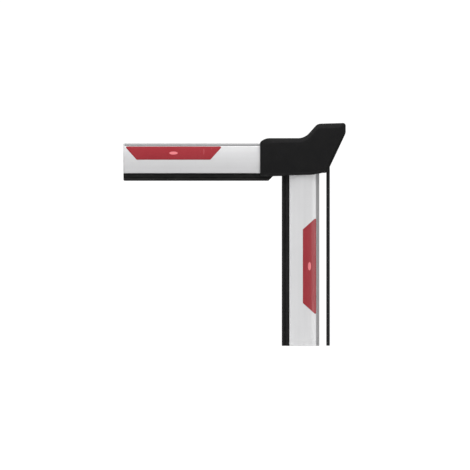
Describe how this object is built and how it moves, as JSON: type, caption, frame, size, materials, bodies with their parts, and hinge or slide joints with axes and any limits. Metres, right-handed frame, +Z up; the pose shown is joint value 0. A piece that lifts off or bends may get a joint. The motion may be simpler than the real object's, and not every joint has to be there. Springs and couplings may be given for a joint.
{
  "type": "articulated barrier boom elbow",
  "caption": "Folding elbow of a parking barrier boom: aluminium arms with rubber edges and red reflectors, a pivot under a moulded knuckle cover, and a parallel tie rod.",
  "frame": {"origin": "middle of the inner boom's foot, on the line between its two screw ports", "axes": "+X away from the outer boom, +Y to the back, along the elbow's pivot, +Z up along the inner boom"},
  "size_m": [0.6675, 0.064, 0.6693],
  "materials": {
    "white_boom": "pale powder coat on extruded aluminium",
    "black_rubber": "matt extruded rubber",
    "grey_strip": "satin grey plastic strip",
    "red_reflector": "red reflective sheeting with a plain pale bar",
    "pale_cap": "pale grey moulding",
    "machined_block": "sawn and milled aluminium",
    "plated_steel": "zinc-plated steel plate",
    "bright_steel": "turned bright steel",
    "zinc_screws": "zinc-plated fasteners",
    "bronze_bush": "sintered bronze",
    "black_nylon": "black nylon",
    "black_rod": "black powder coat on round bar",
    "black_moulding": "finely textured black moulding"
  },
  "bodies": {
    "inner_boom": {"inner_arm": "white_boom", "inner_rubber_edge": "black_rubber", "inner_slot_cover": "grey_strip", "inner_reflector_front": "red_reflector", "inner_reflector_rear": "red_reflector", "inner_tongue": "machined_block", "tongue_screws": "zinc_screws", "pivot_bushes": "bronze_bush"},
    "outer_boom": {"outer_arm": "white_boom", "outer_rubber_edge": "black_rubber", "outer_slot_cover": "grey_strip", "outer_reflector_front": "red_reflector", "outer_reflector_rear": "red_reflector", "tip_cap": "pale_cap", "tip_cap_screws": "zinc_screws", "fork_plate_front": "plated_steel", "fork_plate_rear": "plated_steel", "fork_spacer": "machined_block", "fork_screws": "zinc_screws", "pivot_pin": "bright_steel", "pivot_rings": "bright_steel", "link_pin": "bright_steel", "link_pin_rings": "bright_steel", "link_spacers": "black_nylon", "stop_pins": "bright_steel", "stop_buffers": "black_rubber", "knuckle_cover_front": "black_moulding", "knuckle_cover_rear": "black_moulding", "cover_screws": "zinc_screws"},
    "link_rod": {"tie_rod": "black_rod", "rod_eye": "plated_steel", "rod_eye_bush": "bronze_bush", "rod_lock_nut": "zinc_screws"}
  },
  "joints": [
    {"name": "elbow_fold", "type": "hinge", "parent": "inner_boom", "child": "outer_boom", "pos_m": [0, 0, 0.564], "axis": [0, 1, 0], "range_deg": [0, 90]},
    {"name": "rod_swing", "type": "hinge", "parent": "outer_boom", "child": "link_rod", "pos_m": [0.0717, 0, 0.6357], "axis": [0, 1, 0], "range_deg": [-90, 0]}
  ],
  "couplings": [
    {"joint": "rod_swing", "follows": "elbow_fold", "ratio": -1}
  ]
}
